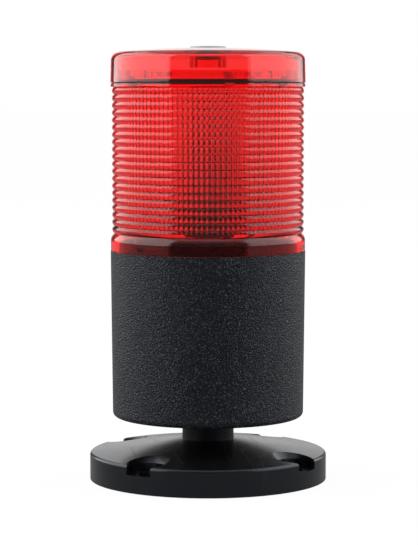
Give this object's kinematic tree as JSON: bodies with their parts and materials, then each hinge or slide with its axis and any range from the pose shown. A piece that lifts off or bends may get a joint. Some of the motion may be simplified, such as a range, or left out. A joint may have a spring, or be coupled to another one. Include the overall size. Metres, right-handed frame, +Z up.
{
  "type": "signal tower light",
  "caption": "Upright signal light: ribbed clear red lens with domed cap on a black cylindrical housing, short stem and round screw-down foot.",
  "frame": {"origin": "middle of the foot's underside", "axes": "+Z up along the common axis of foot, housing, lens and cap; the screw notches lie between the X and Y axes"},
  "size_m": [0.0854, 0.0854, 0.1555],
  "materials": {
    "foot_plastic": "satin moulded black",
    "stem_plastic": "satin moulded black",
    "housing_plastic": "fine spark-eroded grain, black",
    "inner_plastic": "plain moulded, dark grey",
    "insulator_plastic": "plain moulded, ivory",
    "chip_plastic": "moulded chip package",
    "plug_plastic": "plain moulded, grey",
    "lens_red": "polished clear red",
    "cap_red": "polished clear red",
    "seal_rubber": "plain black rubber",
    "zinc_steel": "zinc plated",
    "spring_steel": "drawn wire",
    "contact_brass": "rolled strip, dull"
  },
  "bodies": {
    "base": {"mounting_foot": "foot_plastic", "stem_tube": "stem_plastic", "foot_washer": "zinc_steel", "foot_locknut": "zinc_steel", "stem_seal": "seal_rubber", "housing_washer": "zinc_steel", "housing_locknut": "zinc_steel", "base_housing": "housing_plastic", "lens_seal": "seal_rubber", "terminal_carrier": "inner_plastic", "carrier_screws": "zinc_steel", "terminal_block": "inner_plastic", "terminal_clamps": "contact_brass", "terminal_screws": "zinc_steel", "contact_blades": "contact_brass"},
    "lens_unit": {"lens": "lens_red", "lamp_holder": "inner_plastic", "socket_shell": "contact_brass", "socket_insulator": "insulator_plastic", "plunger_springs": "spring_steel", "common_strip": "contact_brass", "feed_strip": "contact_brass", "strip_bridge": "lens_red", "cap_gasket": "seal_rubber"},
    "contacts": {"contact_plungers": "contact_brass"},
    "lamp": {"lamp_cap": "contact_brass", "lamp_post": "inner_plastic", "lamp_chips": "chip_plastic"},
    "cap_unit": {"cap": "cap_red", "cap_plug": "plug_plastic"}
  },
  "joints": [
    {"name": "lens_twist", "type": "hinge", "parent": "base", "child": "lens_unit", "pos_m": [0, 0, 0.0825], "axis": [0, 0, 1], "range_deg": [0, 22]},
    {"name": "cap_twist", "type": "hinge", "parent": "lens_unit", "child": "cap_unit", "pos_m": [0, 0, 0.14265], "axis": [0, 0, 1], "range_deg": [0, 22]},
    {"name": "lamp_press", "type": "slide", "parent": "lens_unit", "child": "lamp", "axis": [0, 0, -1], "range_m": [0, 0.0015], "stiffness_N_per_m": 2000, "springref_m": -0.001},
    {"name": "plunger_slide", "type": "slide", "parent": "lens_unit", "child": "contacts", "axis": [0, 0, -1], "range_m": [0, 0.0015], "deforming": ["plunger_springs"]}
  ],
  "couplings": [
    {"joint": "plunger_slide", "follows": "lamp_press", "ratio": 1}
  ]
}
